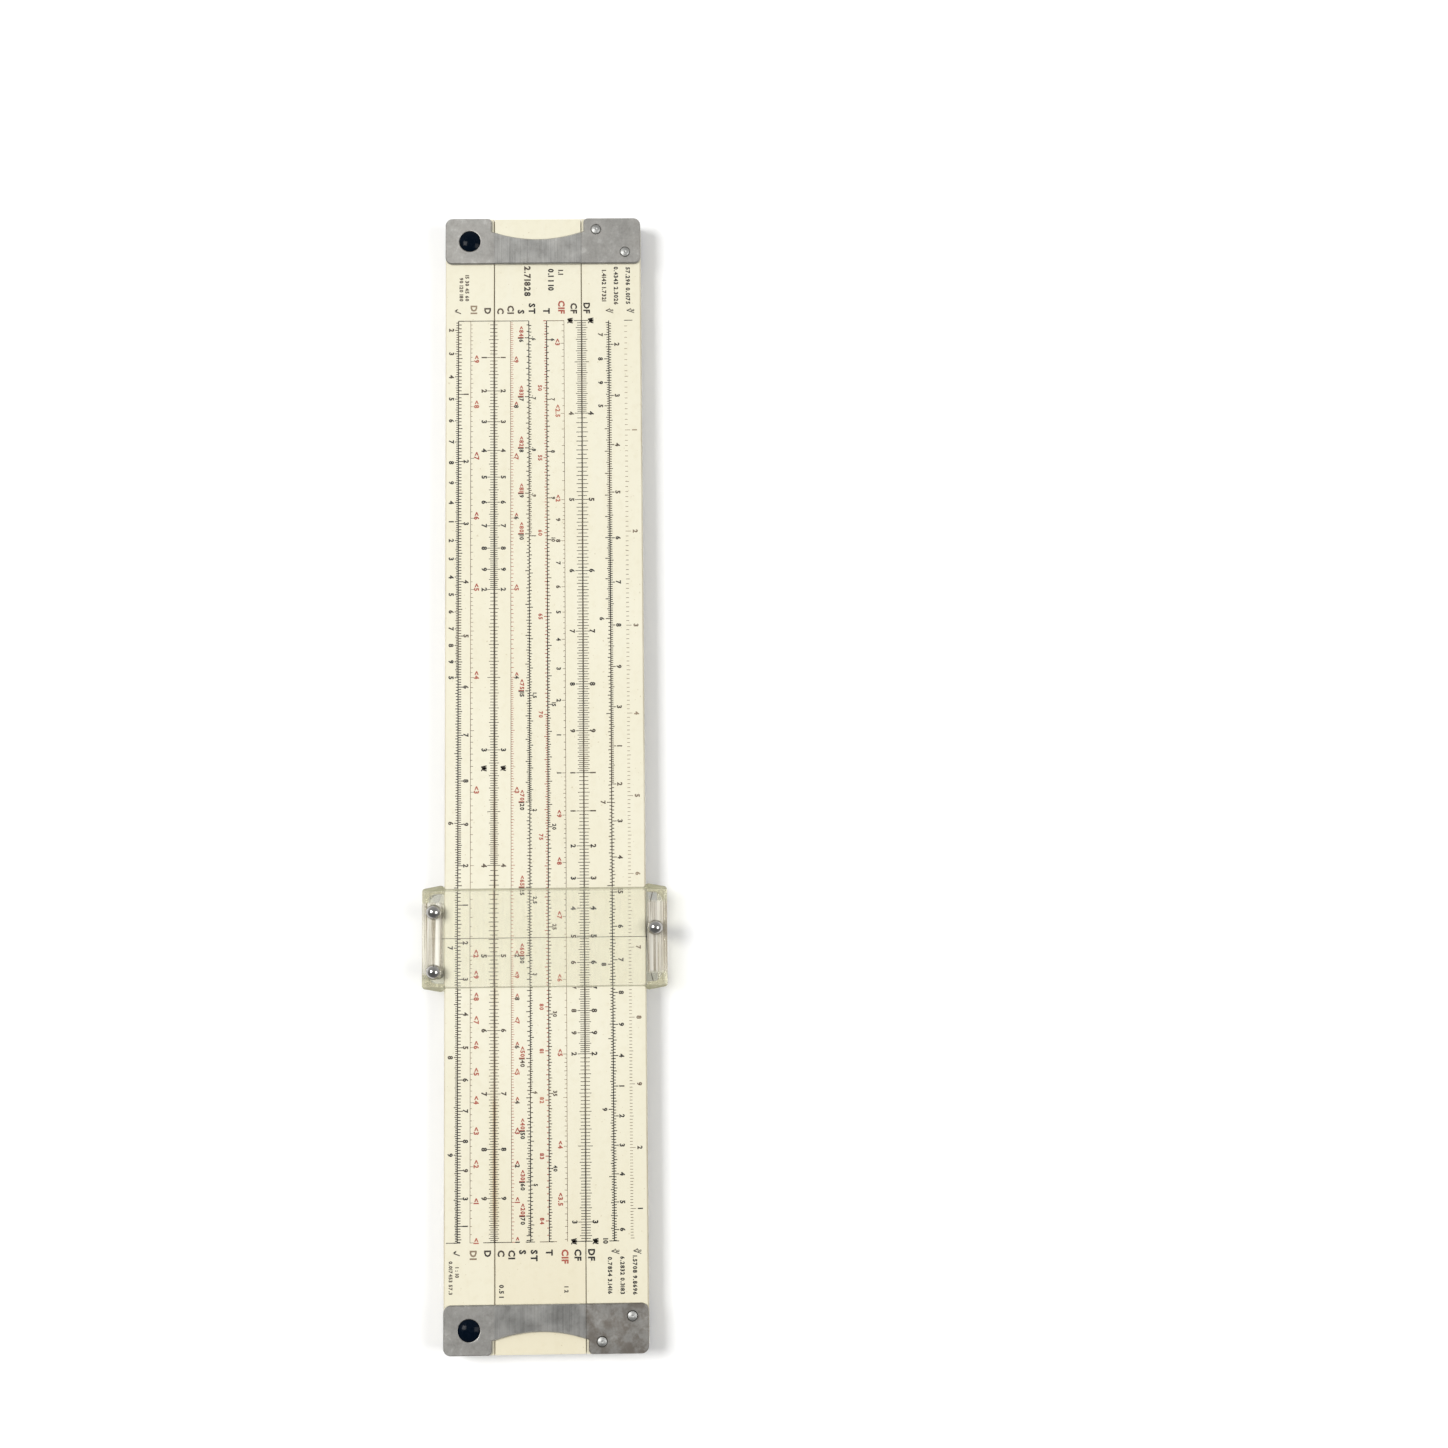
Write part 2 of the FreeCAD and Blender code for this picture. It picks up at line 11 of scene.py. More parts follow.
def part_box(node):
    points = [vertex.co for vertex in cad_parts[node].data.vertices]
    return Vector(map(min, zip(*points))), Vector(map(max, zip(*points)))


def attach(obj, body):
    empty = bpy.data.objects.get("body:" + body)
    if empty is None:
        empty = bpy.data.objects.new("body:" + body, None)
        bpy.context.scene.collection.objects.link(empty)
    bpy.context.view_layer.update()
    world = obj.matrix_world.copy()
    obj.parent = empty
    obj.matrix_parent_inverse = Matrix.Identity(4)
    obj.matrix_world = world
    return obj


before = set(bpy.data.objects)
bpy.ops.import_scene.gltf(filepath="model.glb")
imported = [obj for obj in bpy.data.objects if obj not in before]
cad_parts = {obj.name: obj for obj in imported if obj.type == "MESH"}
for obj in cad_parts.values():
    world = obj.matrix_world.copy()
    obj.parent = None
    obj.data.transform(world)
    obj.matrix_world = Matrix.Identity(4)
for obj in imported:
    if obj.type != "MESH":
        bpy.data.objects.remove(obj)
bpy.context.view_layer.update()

MM = 0.001

# ---------------------------------------------------------------- places, from the frame (mm)


def low(node, axis):
    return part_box(node)[0][axis] / MM


def high(node, axis):
    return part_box(node)[1][axis] / MM


EDGE = high("upper_stator", 1)
SEAM_D = high("lower_stator", 1)        # between the lower stator and the slide
SEAM_DF = low("upper_stator", 1)        # between the slide and the upper stator
STOCK_FACES = low("lower_stator", 2), high("lower_stator", 2)
SLIDE_FACES = low("slide", 2), high("slide", 2)
WINDOW_ENDS = low("cursor_window_front", 0), high("cursor_window_front", 0)
HAIRLINE_X = sum(WINDOW_ENDS) / 2
WINDOW_FACES = high("cursor_window_back", 2), low("cursor_window_front", 2)     # inner ones
WING_START = (EDGE + 0.2) * MM, (EDGE + 0.6) * MM       # where the wings' look fades in

# ---------------------------------------------------------------- materials


class Tree:
    """Short calls for building the nodes of one material, or of the world.

    A material's coordinates are the row frame's at rest, in metres.
    """

    def __init__(self, owner, coordinates="Object"):
        self.owner = owner
        owner.use_nodes = True
        self.tree = owner.node_tree
        self.tree.nodes.clear()
        self.point = self.node("ShaderNodeTexCoord").outputs[coordinates]
        split = self.node("ShaderNodeSeparateXYZ", Vector=self.point)
        self.x, self.y, self.z = split.outputs

    def put(self, socket, value):
        if isinstance(value, bpy.types.NodeSocket):
            self.tree.links.new(value, socket)
        else:
            socket.default_value = value

    def node(self, kind, settings=None, **inputs):
        node = self.tree.nodes.new(kind)
        for key, value in (settings or {}).items():
            setattr(node, key, value)
        for key, value in inputs.items():
            self.put(node.inputs[key.replace("_", " ")], value)
        return node

    def math(self, operation, *values):
        node = self.node("ShaderNodeMath", {"operation": operation})
        for socket, value in zip(node.inputs, values):
            self.put(socket, value)
        return node.outputs[0]

    def noise(self, scale, stretch=(1, 1, 1), detail=4.0, roughness=0.55, shift=0.0):
        """Noise from 0 to 1, with about scale features a metre."""
        where = self.node("ShaderNodeMapping", Vector=self.point, Scale=stretch,
                          Location=(shift, shift, shift)).outputs[0]
        return self.node("ShaderNodeTexNoise", Vector=where, Scale=scale, Detail=detail,
                         Roughness=roughness).outputs["Fac"]

    def between(self, value, start, end, out=(0.0, 1.0)):
        """value's place between start and end, eased, as a number from out[0] to out[1]."""
        node = self.node("ShaderNodeMapRange", {"interpolation_type": "SMOOTHSTEP"}, Value=value)
        for key, number in zip(("From Min", "From Max", "To Min", "To Max"), (start, end, *out)):
            node.inputs[key].default_value = number
        return node.outputs[0]

    def away(self, value, centre):
        """How far value is from centre, on either side."""
        return self.math("ABSOLUTE", self.math("SUBTRACT", value, centre))

    def near(self, value, centre, width):
        """1 where value is at centre, falling to 0 at width from it."""
        return self.between(self.away(value, centre), 0.0, width, (1.0, 0.0))

    def times(self, *values):
        result = values[0]
        for value in values[1:]:
            result = self.math("MULTIPLY", result, value)
        return result

    def ramp(self, value, *stops):
        """Colour ramp with stops of (position, (r, g, b))."""
        node = self.node("ShaderNodeValToRGB", Fac=value)
        elements = node.color_ramp.elements
        while len(elements) < len(stops):
            elements.new(0.5)
        for element, (position, colour) in zip(elements, stops):
            element.position = position
            element.color = (*colour, 1.0)
        return node.outputs["Color"]

    def mix(self, factor, first, second, blend="MIX"):
        """first, with factor of the colour second over it."""
        node = self.node("ShaderNodeMix", {"data_type": "RGBA", "blend_type": blend})
        for socket, value in zip([node.inputs[i] for i in (0, 6, 7)], (factor, first, second)):
            if not isinstance(value, bpy.types.NodeSocket) and socket.type == "RGBA":
                value = (*value, 1.0)
            self.put(socket, value)
        return node.outputs[2]

    def bump(self, height, distance, strength):
        return self.node("ShaderNodeBump", Height=height, Distance=distance,
                         Strength=strength).outputs[0]

    def principled(self, colour, **inputs):
        return self.node("ShaderNodeBsdfPrincipled", Base_Color=colour, **inputs).outputs[0]

    def mix_shaders(self, factor, first, second):
        node = self.node("ShaderNodeMixShader")
        for socket, value in zip(node.inputs, (factor, first, second)):
            self.put(socket, value)
        return node.outputs[0]

    def done(self, shader, output="ShaderNodeOutputMaterial"):
        self.node(output, Surface=shader)
        return self.owner


def material_tree(name):
    return Tree(bpy.data.materials.new(name))


def cream_plastic(name, warm_end):
    """Satin ivory plastic: mottled, stained along the seams, and darkened along the seams and
    edges by grime and painted shade. It is yellowed towards +X, as strongly as warm_end."""
    t = material_tree(name)
    cloud = t.noise(22, detail=3)
    fine = t.noise(500, detail=5, shift=3)
    smear = t.noise(60, (0.25, 4, 4), detail=4, shift=7)
    base = t.ramp(cloud, (0.3, (0.735, 0.695, 0.535)), (0.7, (0.765, 0.732, 0.585)))
    base = t.mix(t.between(fine, 0.45, 0.8, (0.0, 0.35)), base, (0.660, 0.605, 0.440))
    base = t.mix(t.between(smear, 0.5, 0.8, (0.0, 0.3)), base, (0.735, 0.710, 0.590))
    yellowing = t.times(t.between(t.x, 0.09, 0.15), warm_end)
    base = t.mix(yellowing, base, (0.670, 0.575, 0.375))
    blotch = t.noise(90, (0.35, 1, 1), detail=5, shift=11)
    from_seam = t.away(t.y, SEAM_D * MM)
    # Dirt, stains and the painted shade are on the front and back, not down the sides of the
    # grooves
    skin = t.math("MAXIMUM", *(t.near(t.z, level * MM, 0.0014) for level in STOCK_FACES))
    handled = t.times(skin, t.between(t.x, -0.03, 0.07), t.between(t.x, 0.118, 0.126, (1.0, 0.0)))
    stain = t.times(t.between(from_seam, 0.0002, 0.0020, (1.0, 0.0)), handled,
                    t.between(blotch, 0.40, 0.62, (0.1, 0.40)))
    base = t.mix(stain, base, (0.640, 0.545, 0.300))
    rust = t.times(t.between(from_seam, 0.0, 0.0007, (1.0, 0.0)), handled,
                   t.between(blotch, 0.42, 0.60, (0.2, 0.8)))
    base = t.mix(rust, base, (0.400, 0.200, 0.060))
    # Darker brown lines along the seams and the long edges: partly grime, partly painted shade
    # where the parts meet.
    seams = t.math("MAXIMUM", t.near(t.y, SEAM_D * MM, 0.00035), t.near(t.y, SEAM_DF * MM, 0.0002))
    edges = t.near(t.math("ABSOLUTE", t.y), EDGE * MM, 0.0005)
    grime_and_shade = t.times(skin, t.math("MAXIMUM", seams, edges),
                    t.between(blotch, 0.3, 0.7, (0.25, 0.75)))
    base = t.mix(grime_and_shade, base, (0.300, 0.220, 0.115))
    speck = t.between(t.noise(1400, detail=1, shift=17), 0.72, 0.80, (0.0, 0.5))
    base = t.mix(speck, base, (0.470, 0.390, 0.250))
    scratches = t.noise(900, (0.06, 1, 1), detail=3, shift=5)
    roughness = t.math("ADD", t.between(smear, 0.3, 0.7, (0.36, 0.50)),
                       t.between(scratches, 0.6, 0.75, (0.0, 0.10)))
    height = t.math("ADD", t.times(fine, 0.6), t.times(scratches, 0.8))
    return t.done(t.principled(base, Roughness=roughness, Normal=t.bump(height, 0.00002, 0.35),
                               IOR=1.5, Coat_Weight=0.08, Coat_Roughness=0.25))


def bracket_metal():
    """Scuffed stainless plate: the bridge over the slide is brushed along the rule, and the
    pads are duller. The pad over the upper stator is tarnished at +X."""
    t = material_tree("bracket_steel")
    grain = t.noise(70, (1, 60, 60), detail=3)
    matte = t.noise(1800, detail=4, shift=2)
    cloud = t.noise(120, detail=4, shift=9)
    middle = (SEAM_D + SEAM_DF) / 2 * MM
    reach = (SEAM_DF - SEAM_D) / 2 * MM
    on_bridge = t.between(t.away(t.y, middle), reach - 0.0002, reach + 0.0002, (1.0, 0.0))
    bright = t.ramp(grain, (0.30, (0.400, 0.396, 0.376)), (0.70, (0.540, 0.536, 0.512)))
    dull = t.ramp(matte, (0.25, (0.345, 0.337, 0.318)), (0.75, (0.415, 0.406, 0.382)))
    base = t.mix(on_bridge, dull, bright)
    base = t.mix(t.between(cloud, 0.45, 0.75, (0.0, 0.4)), base, (0.330, 0.315, 0.290))
    scuff = t.noise(330, detail=8, roughness=0.74, shift=21)
    base = t.mix(t.between(scuff, 0.47, 0.66, (0.0, 0.42)), base, (0.250, 0.240, 0.222))
    base = t.mix(t.between(scuff, 0.34, 0.47, (0.42, 0.0)), base, (0.600, 0.594, 0.570))
    tarnished = t.times(t.between(t.x, 0.13, 0.14), t.between(t.y, 0.0100, 0.0108),
                        t.between(t.noise(300, detail=8, roughness=0.68, shift=4), 0.38, 0.62,
                                  (0.15, 0.95)))
    base = t.mix(tarnished, base, (0.225, 0.202, 0.175))
    # Painted shade: the plates darken towards +X, standing in for the dimmer reflection they show
    # there.
    base = t.mix(t.between(t.x, 0.0, 0.15, (0.0, 0.12)), base, (0.0, 0.0, 0.0))
    roughness = t.math("ADD", t.math("MULTIPLY_ADD", on_bridge, -0.10, 0.46),
                       t.between(cloud, 0.3, 0.8, (-0.04, 0.12)))
    height = t.mix(on_bridge, matte, grain)
    return t.done(t.principled(base, Metallic=1.0, Roughness=roughness,
                               Normal=t.bump(height, 0.00004, 0.5)))


def turned_metal(name, dark, light, rough, bump=0.3):
    """Small machined steel part, with a faint turning grain and dull patches."""
    t = material_tree(name)
    patch = t.noise(900, detail=4)
    fine = t.noise(6000, detail=2, shift=3)
    base = t.ramp(patch, (0.3, dark), (0.7, light))
    roughness = t.between(patch, 0.3, 0.75, (rough, rough + 0.12))
    return t.done(t.principled(base, Metallic=1.0, Roughness=roughness,
                               Normal=t.bump(fine, 0.00001, bump)))


def rubber():
    """Smooth navy-black rubber with a little dust."""
    t = material_tree("bumper_rubber")
    dust = t.noise(2500, detail=5)
    base = t.ramp(dust, (0.45, (0.0010, 0.0036, 0.0085)), (0.85, (0.005, 0.009, 0.018)))
    roughness = t.between(dust, 0.35, 0.8, (0.12, 0.22))
    return t.done(t.principled(base, Roughness=roughness, IOR=1.5, Specular_IOR_Level=0.05,
                               Normal=t.bump(dust, 0.00001, 0.3)))


def clear_plastic(name, tint, shadow_tint, rough, haze, haze_colour, streaks, band=0.0):
    """Clear acrylic, tinted and a little hazy, that lets lamps through. In the middle of the wings
    it has light and dark streaks along the rule, painted highlights and shade of the wings'
    ridges, as strongly as streaks; they are darker towards +Y, painted shade on the side away from
    the key lamp. It is darker olive as far in from its ends as band (m), painted shade standing in
    for the bevels' refraction."""
    t = material_tree(name)
    swirl = t.noise(140, (0.6, 1, 1), detail=3)
    streak = t.noise(1300, (0.015, 1, 0.1), detail=2, shift=13)
    wear = t.noise(1500, (0.15, 1, 1), detail=5, shift=5)
    colour = t.ramp(swirl, (0.3, tint), (0.7, tuple(min(1.0, c * 1.02) for c in tint)))
    roughness = t.between(wear, 0.5, 0.8, (rough, rough + 0.05))
    glass = t.principled(colour, Roughness=roughness, IOR=1.49, Transmission_Weight=1.0,
                         Normal=t.bump(wear, 0.000004, 0.25))
    amount = t.between(wear, 0.35, 0.85, (haze * 0.6, haze * 1.6))
    # Painted highlights and shade: light and dark streaks along the rule in the wings.
    painted_streak_colour = t.ramp(streak, (0.42, (0.300, 0.245, 0.170)), (0.56, (0.930, 0.910, 0.830)))
    # Painted shade: the streaks darken towards +Y, away from the key lamp.
    painted_streak_colour = t.mix(t.between(t.y, -0.01, 0.01, (0.0, 0.30)), painted_streak_colour, (0.280, 0.230, 0.160))
    in_wing = t.times(t.between(t.math("ABSOLUTE", t.y), *WING_START),
                      t.between(t.away(t.x, HAIRLINE_X * MM), 0.0088, 0.0102, (1.0, 0.0)))
    painted_streaks = t.times(in_wing, t.between(streak, 0.35, 0.65, (0.25, streaks)))
    amount = t.math("MAXIMUM", amount, painted_streaks)
    haze_colour = t.mix(in_wing, haze_colour, painted_streak_colour)
    if band:
        start, end = (end * MM for end in WINDOW_ENDS)
        # Painted shade: darker olive bands at the window's ends, standing in for the bevels'
        # refraction.
        painted_end_shade = t.math("MAXIMUM",
                      t.between(t.x, start + 0.7 * band, start + band, (1.0, 0.0)),
                      t.between(t.x, end - 0.75 * band, end - 0.62 * band))
        amount = t.math("MAXIMUM", amount, t.times(painted_end_shade, 0.55))
        haze_colour = t.mix(painted_end_shade, haze_colour, (0.300, 0.290, 0.190))
    cloudy = t.principled(haze_colour, Roughness=0.35, IOR=1.49)
    solid = t.mix_shaders(amount, glass, cloudy)
    shadow = t.node("ShaderNodeBsdfTransparent", Color=(*shadow_tint, 1.0)).outputs[0]
    path = t.node("ShaderNodeLightPath").outputs
    from_lamp = t.math("MAXIMUM", path["Is Shadow Ray"], path["Is Diffuse Ray"])
    return t.done(t.mix_shaders(from_lamp, solid, shadow))


def ink(name, dark, worn, wear_from):
    """Ink filled into the plastic, thinner where its noise is past wear_from."""
    t = material_tree(name)
    thin = t.noise(75, (0.5, 1, 1), detail=6)
    base = t.ramp(thin, (wear_from, dark), (min(1.0, wear_from + 0.3), worn))
    return t.done(t.principled(base, Roughness=t.between(thin, 0.3, 0.7, (0.42, 0.6))))


MATERIALS = {
    "stock_plastic": cream_plastic("stock_plastic", 0.15),
    "slide_plastic": cream_plastic("slide_plastic", 0.34),
    "bracket": bracket_metal(),
    "rivet": turned_metal("rivet_steel", (0.36, 0.36, 0.345), (0.44, 0.44, 0.425), 0.48),
    "fastener": turned_metal("fastener_steel", (0.34, 0.34, 0.33), (0.50, 0.50, 0.48), 0.32),
    "nut": turned_metal("nut_chrome", (0.395, 0.385, 0.370), (0.475, 0.465, 0.445), 0.12, 0.1),
    "spring": turned_metal("spring_steel", (0.060, 0.048, 0.036), (0.120, 0.100, 0.080), 0.30),
    "rubber": rubber(),
    "window": clear_plastic("window_acrylic", (0.970, 0.970, 0.940), (0.975, 0.975, 0.965),
                            0.015, 0.03, (0.66, 0.64, 0.52), 0.6, band=0.0019),
    "block": clear_plastic("block_plastic", (0.965, 0.960, 0.905), (0.88, 0.875, 0.83),
                           0.05, 0.26, (0.62, 0.59, 0.45), 0.3),
    "black_ink": ink("black_ink", (0.014, 0.012, 0.010), (0.125, 0.088, 0.055), 0.45),
    "red_ink": ink("red_ink", (0.330, 0.050, 0.032), (0.450, 0.150, 0.090), 0.42),
    "brown_ink": ink("brown_ink", (0.120, 0.080, 0.050), (0.330, 0.250, 0.160), 0.40),
}

FINISH = {
    "lower_stator": "stock_plastic", "upper_stator": "stock_plastic", "slide": "slide_plastic",
    "bracket": "bracket", "rivet": "rivet", "tension_screw": "fastener",
    "barrel_nut": "fastener", "bumper": "rubber", "cursor_window": "window",
    "cursor_block": "block", "cursor_spring": "spring", "cursor_screw": "fastener",
    "cursor_nut": "nut",
}

for node_name, node_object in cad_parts.items():
    finish = next(FINISH[key] for key in FINISH if node_name.startswith(key))
    for material_slot in node_object.material_slots:
        material_slot.material = MATERIALS[finish]

# ---------------------------------------------------------------- graduations

SCALE_LENGTH = 250.0
SCALE_START = -SCALE_LENGTH / 2
INK_RISE = 0.014                        # above the plastic's face
INK_SINK = 0.012                        # below it

# Widths of lines
LINE = 0.22
MAIN = 0.26                             # base lines of the roots and tangents
SEAM = 0.13                             # lines along the seam of D and C
FAINT = 0.08                            # lines along the seam of DF and CF
THIN = 0.15                             # lines and ticks in red and brown
TICK = 0.24
FINE = 0.18                             # ticks of C, D, CF and DF on the front
INDEX = 0.2                             # ticks across several scales at 1 and 10

LETTER = 1.85                           # height of the scales' names
NAME_X = 127.0                          # where they start, towards both ends
BOLD = 0.045                            # outward offset of the characters' outlines
PI = "\u03c0"
ROOT = "\u221a"
CUBE_ROOT = "\u221b"

BOX_FACES = ((0, 3, 2, 1), (4, 5, 6, 7), (0, 1, 5, 4), (1, 2, 6, 5), (2, 3, 7, 6), (3, 0, 4, 7))


def glyph_solid(character):
    """Points and faces of one character as a closed solid."""
    curve = bpy.data.curves.new("glyph", "FONT")
    curve.body = character
    curve.extrude = 0.5
    curve.resolution_u = 2
    curve.offset = BOLD if character.isascii() else BOLD / 4
    text = bpy.data.objects.new("glyph", curve)
    mesh = bpy.data.meshes.new_from_object(text)
    work = bmesh.new()
    work.from_mesh(mesh)
    bmesh.ops.remove_doubles(work, verts=work.verts, dist=1e-5)
    bmesh.ops.recalc_face_normals(work, faces=work.faces)
    points = np.array([v.co for v in work.verts], float).reshape(-1, 3)
    faces = [[v.index for v in f.verts] for f in work.faces]
    work.free()
    bpy.data.objects.remove(text)
    bpy.data.curves.remove(curve)
    bpy.data.meshes.remove(mesh)
    return points, faces


CAPITAL = float(np.ptp(glyph_solid("H")[0][:, 1]))
GLYPHS = {}


def glyph(character):
    """Points, faces and width of a character, for capitals of height 1."""
    if character not in GLYPHS:
        points, faces = glyph_solid(character)
        points[:, 0] -= points[:, 0].min()
        points[:, :2] /= CAPITAL
        GLYPHS[character] = points, faces, float(points[:, 0].max())
    return GLYPHS[character]


class Marks:
    """Marks in one ink on one face of one body, collected as closed solids.

    They are given in the face's own plane, in mm: u runs along +X, and v up the face as it
    is read, which is +Y on the front and -Y on the back.
    """

    def __init__(self, name, body, faces_z, front, material):
        self.name, self.body, self.material = name, body, material
        self.front = front
        self.level = faces_z[1] if front else faces_z[0]
        self.points, self.faces, self.count = [], [], 0

    def add(self, points, faces):
        self.points.append(points)
        self.faces.extend([i + self.count for i in face] for face in faces)
        self.count += len(points)

    def slab(self, u0, u1, v0, v1):
        u0, u1 = sorted((u0, u1))
        v0, v1 = sorted((v0, v1))
        ring = ((u0, v0), (u1, v0), (u1, v1), (u0, v1))
        self.add(np.array([(u, v, h) for h in (-INK_SINK, INK_RISE) for u, v in ring]), BOX_FACES)

    def tick(self, u, v0, v1, width=TICK):
        self.slab(u - width / 2, u + width / 2, v0, v1)

    def line(self, v, width=LINE):
        self.slab(SCALE_START, -SCALE_START, v - width / 2, v + width / 2)

    def text(self, words, u, v, height, anchor=0.5):
        """Writes words on (u, v): centred, or from anchor 0 or to anchor 1."""
        gap, space = 0.13, 0.45
        parts, pen = [], 0.0
        for character in words:
            if character == " ":
                pen += space
                continue
            points, faces, width = glyph(character)
            parts.append((points, faces, pen))
            pen += width + gap
        start = -(pen - gap) * anchor
        for points, faces, at in parts:
            moved = points.copy()
            moved[:, 0] = u + (moved[:, 0] + at + start) * height
            moved[:, 1] = v + (moved[:, 1] - 0.5) * height
            moved[:, 2] = np.where(moved[:, 2] > 0, INK_RISE, -INK_SINK)
            self.add(moved, faces)

    def make(self):
        if not self.count:
            return
        points = np.concatenate(self.points)
        if not self.front:
            points = points * (1, -1, -1)
        points[:, 2] += self.level
        mesh = bpy.data.meshes.new(self.name)
        mesh.from_pydata((points * MM).tolist(), [], self.faces)
        mesh.materials.append(MATERIALS[self.material])
        piece = bpy.data.objects.new(self.name, mesh)
        bpy.context.scene.collection.objects.link(piece)
        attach(piece, self.body)


def along(fraction):
    return SCALE_START + SCALE_LENGTH * fraction


def log_place(power=1.0, offset=0.0, wrap=False):
    """Where a value stands on a log scale: power times its log, plus offset, of the length."""
    def place(value):
        share = power * math.log10(value) + offset
        return along(share - math.floor(share + 1e-9) if wrap else share)
    return place


def angle_place(ratio, offset):
    """Where an angle in degrees stands, by the log of one of its ratios."""
    def place(degrees):
        return along(offset + math.log10(ratio(math.radians(degrees))))
    return place


def on_scale(u):
    return SCALE_START - 0.01 <= u <= -SCALE_START + 0.01


def ruled(marks, place, segments, foot, lengths, width=TICK):
    """Ticks of a scale, from foot by one of three signed lengths. A segment is (start, stop,
    step, medium, long): every medium-th tick is medium and every long-th is long."""
    for start, stop, step, medium, long in segments:
        first = round(start / step)
        for number in range(first, round(stop / step) + 1):
            size = 2 if number % long == 0 else 1 if number % medium == 0 else 0
            u = place(number * step)
            if on_scale(u):
                marks.tick(u, foot, foot + lengths[size], width)


def named(marks, words, v):
    """A scale's name at both of its ends."""
    marks.text(words, -NAME_X, v, LETTER, 1.0)
    marks.text(words, NAME_X, v, LETTER, 0.0)


def numbered(marks, place, values, v, height, words=None, anchor=0.5):
    """Writes each value, or what words makes of it, at its place."""
    for value in values:
        u = place(value)
        if on_scale(u):
            marks.text(words(value) if words else f"{value:g}", u, v, height, anchor)


def figure(value):
    """A value between two whole numbers by its tenth alone, and a whole one in full."""
    tenths = round(value * 10)
    return str(tenths // 10) if tenths % 10 == 0 else str(tenths % 10)


def tenths(start, stop):
    return [n / 10 for n in range(round(start * 10), round(stop * 10) + 1)]


# Segments of the scales, finer where the numbers are further apart
DECADE = ((1, 1.99, 0.01, 5, 10), (2, 3.98, 0.02, 5, 25), (4, 10, 0.05, 2, 20))
INVERSE = ((1, 1.98, 0.02, 5, 10), (2, 4.95, 0.05, 2, 10), (5, 10, 0.1, 5, 10))
ROOT_1 = ((1, 1.995, 0.005, 10, 20), (2, 3.16, 0.01, 5, 10))
ROOT_2 = ((3.17, 4.99, 0.01, 5, 10), (5, 10, 0.02, 5, 25))
CUBE_1 = ((1, 2.15, 0.005, 10, 20),)
CUBE_2 = ((2.16, 3.195, 0.005, 10, 20), (3.2, 4.64, 0.01, 5, 10))
CUBE_3 = ((4.65, 5.99, 0.01, 5, 10), (6, 10, 0.02, 5, 25))
SQUARES = tuple((start * m, stop * m, step * m, medium, long) for m in (1, 10)
                for start, stop, step, medium, long in (
                    (1, 1.98, 0.02, 5, 25), (2, 4.95, 0.05, 2, 20), (5, 10, 0.1, 5, 10)))
SINES = ((5.8, 19.9, 0.1, 5, 10), (20, 29.8, 0.2, 5, 25), (30, 59.5, 0.5, 2, 10),
         (60, 80, 1, 5, 10), (85, 90, 5, 1, 1))
TANGENTS = ((5.8, 19.9, 0.1, 5, 10), (20, 45, 0.2, 5, 25))
STEEP = ((45, 69.8, 0.2, 5, 25), (70, 84.2, 0.1, 5, 10))
SMALL_ANGLES = ((0.58, 0.995, 0.005, 2, 20), (1, 1.99, 0.01, 5, 10), (2, 3.98, 0.02, 5, 25),
                (4, 5.7, 0.05, 2, 10))

PI_FOLD = math.log10(math.pi)
C_PLACE = log_place()
CI_PLACE = log_place(-1, 1)
CF_PLACE = log_place(1, -PI_FOLD, wrap=True)
CIF_PLACE = log_place(-1, -PI_FOLD, wrap=True)
A_PLACE = log_place(0.5)
SINE = angle_place(math.sin, 1)
TANGENT = angle_place(math.tan, 1)
STEEP_TANGENT = angle_place(math.tan, 0)
SMALL_ANGLE = angle_place(lambda angle: angle, 2)
NUMBERS = tenths(1, 2) + [3, 4, 5, 6, 7, 8, 9]
SINE_NUMBERS = (6, 7, 8, 9, 10, 15, 20, 25, 30, 40, 50, 60, 70)
TANGENT_NUMBERS = (6, 7, 8, 9, 10, 15, 20, 25, 30, 35, 40, 45)


def mark_sets(is_front):
    """The black, red and brown marks of the stock, then of the slide, on one face."""
    side = "front" if is_front else "back"
    return [[Marks(f"marks_{side}_{body}_{colour}", body, faces_z, is_front, f"{colour}_ink")
             for colour in ("black", "red", "brown")]
            for body, faces_z in (("stock", STOCK_FACES), ("slide", SLIDE_FACES))]


front = mark_sets(True)
(stock, stock_red, stock_brown), (slide, slide_red, slide_brown) = front

# Lower stator: square roots on both sides of a line, DI, and D along the seam
ROOTS, DI = -23.42, -20.05
stock.line(ROOTS, MAIN)
ruled(stock, log_place(2), ROOT_1, ROOTS, (0.85, 1.1, 1.45))
numbered(stock, log_place(2), tenths(1.1, 3.1), -21.2, 1.4, figure)
ruled(stock, log_place(2, -1), ROOT_2, ROOTS, (-0.6, -0.75, -0.95))
numbered(stock, log_place(2, -1), tenths(3.2, 5) + [6, 7, 8, 9], -25.25, 1.4, figure)
stock_brown.line(DI, THIN)
ruled(stock_brown, CI_PLACE, INVERSE, DI, (0.5, 0.7, 0.95), THIN)
numbered(stock_red, CI_PLACE, NUMBERS, -18.35, 1.4, lambda value: "<" + figure(value), 0.8)
stock.line(SEAM_D - 0.12, SEAM)
ruled(stock, C_PLACE, DECADE, SEAM_D - 0.1, (-1.0, -1.35, -1.8), FINE)
numbered(stock, C_PLACE, NUMBERS[1:], -16.25, 1.5, figure)
stock.text(PI, C_PLACE(math.pi), -16.1, 2.1)

